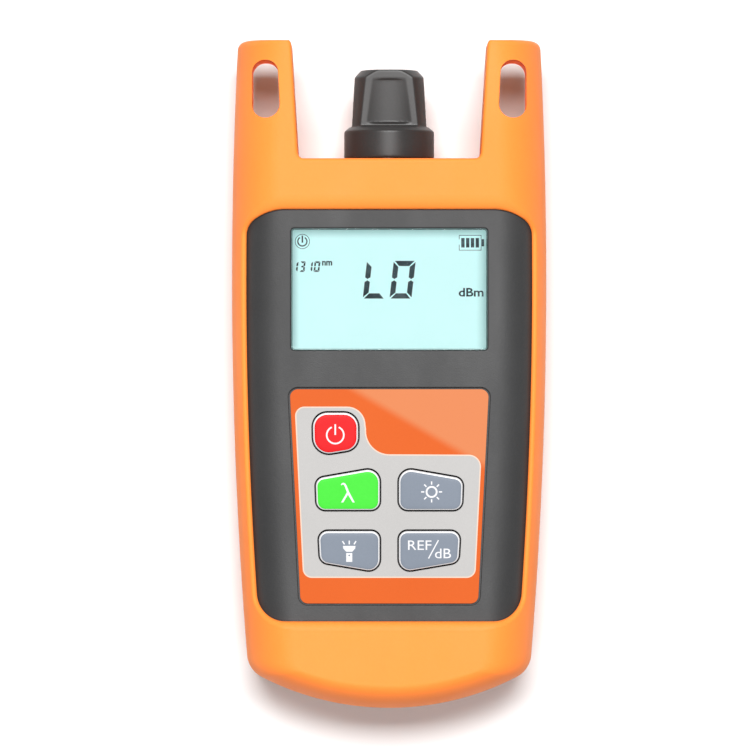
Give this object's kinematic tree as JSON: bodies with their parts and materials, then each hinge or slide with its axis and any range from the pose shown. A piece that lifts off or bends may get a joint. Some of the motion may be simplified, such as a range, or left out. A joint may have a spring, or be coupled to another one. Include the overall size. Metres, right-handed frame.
{
  "type": "handheld optical power meter",
  "caption": "Handheld fibre optic power meter in a rubber boot with lanyard ears, a display, a keypad, a capped optical port and a torch.",
  "frame": {"origin": "middle of the boot's outline, on the surface that the meter lies on", "axes": "+Z out of the display, +Y out of the optical port, +X to the display's right"},
  "size_m": [0.06, 0.127, 0.027],
  "materials": {
    "boot": "satin moulded rubber",
    "case": "fine moulded texture",
    "lens": "clear acrylic",
    "lcd": "lit pale cyan",
    "light_guide": "white",
    "zebra": "matt",
    "overlay": "printed film",
    "switch": "moulded",
    "plunger": "moulded",
    "board": "solder mask",
    "chip": "moulded",
    "capacitor": "sleeved can",
    "contact": "nickel-plated spring steel",
    "plated": "nickel plated",
    "ceramic": "white ceramic",
    "can": "plated",
    "holder": "black",
    "cap": "soft dark grey plastic",
    "torch_lens": "clear",
    "led": "clear with phosphor",
    "screw": "zinc plated",
    "key_red": "satin",
    "key_green": "satin",
    "key_slate": "satin",
    "cell": "printed sleeve"
  },
  "bodies": {
    "meter": {"protective_boot": "boot", "front_case": "case", "rear_case": "case", "display_lens": "lens", "lcd_panel": "lcd", "lcd_backlight": "light_guide", "zebra_strip": "zebra", "keypad_overlay": "overlay", "tact_switches": "switch", "main_board": "board", "processor_chip": "chip", "amplifier_chip": "chip", "timing_crystal": "plated", "smoothing_capacitor": "capacitor", "positive_contacts": "contact", "contact_springs": "contact", "port_barrel": "plated", "universal_adapter": "plated", "ferrule_sleeve": "ceramic", "photodetector": "can", "detector_holder": "holder", "torch_lens": "torch_lens", "torch_led": "led", "case_screws": "screw", "board_screws": "screw", "battery_1": "cell", "battery_2": "cell", "battery_3": "cell"},
    "cap": {"dust_cap": "cap"},
    "door": {"battery_door": "case"},
    "key_power": {"key_power": "key_red", "plunger_power": "plunger"},
    "key_wavelength": {"key_wavelength": "key_green", "plunger_wavelength": "plunger"},
    "key_torch": {"key_torch": "key_slate", "plunger_torch": "plunger"},
    "key_backlight": {"key_backlight": "key_slate", "plunger_backlight": "plunger"},
    "key_reference": {"key_reference": "key_slate", "plunger_reference": "plunger"}
  },
  "joints": [
    {"name": "cap_pull", "type": "slide", "parent": "meter", "child": "cap", "axis": [0, 1, 0], "range_m": [0, 0.04]},
    {"name": "battery_door_hinge", "type": "hinge", "parent": "meter", "child": "door", "pos_m": [0, 0.0006, 0.0023], "axis": [1, 0, 0], "range_deg": [0, 85]},
    {"name": "key_power_press", "type": "slide", "parent": "meter", "child": "key_power", "axis": [0, 0, -1], "range_m": [0, 0.0005], "stiffness_N_per_m": 1200, "springref_m": -0.0001},
    {"name": "key_wavelength_press", "type": "slide", "parent": "meter", "child": "key_wavelength", "axis": [0, 0, -1], "range_m": [0, 0.0005], "stiffness_N_per_m": 1200, "springref_m": -0.0001},
    {"name": "key_torch_press", "type": "slide", "parent": "meter", "child": "key_torch", "axis": [0, 0, -1], "range_m": [0, 0.0005], "stiffness_N_per_m": 1200, "springref_m": -0.0001},
    {"name": "key_backlight_press", "type": "slide", "parent": "meter", "child": "key_backlight", "axis": [0, 0, -1], "range_m": [0, 0.0005], "stiffness_N_per_m": 1200, "springref_m": -0.0001},
    {"name": "key_reference_press", "type": "slide", "parent": "meter", "child": "key_reference", "axis": [0, 0, -1], "range_m": [0, 0.0005], "stiffness_N_per_m": 1200, "springref_m": -0.0001}
  ]
}
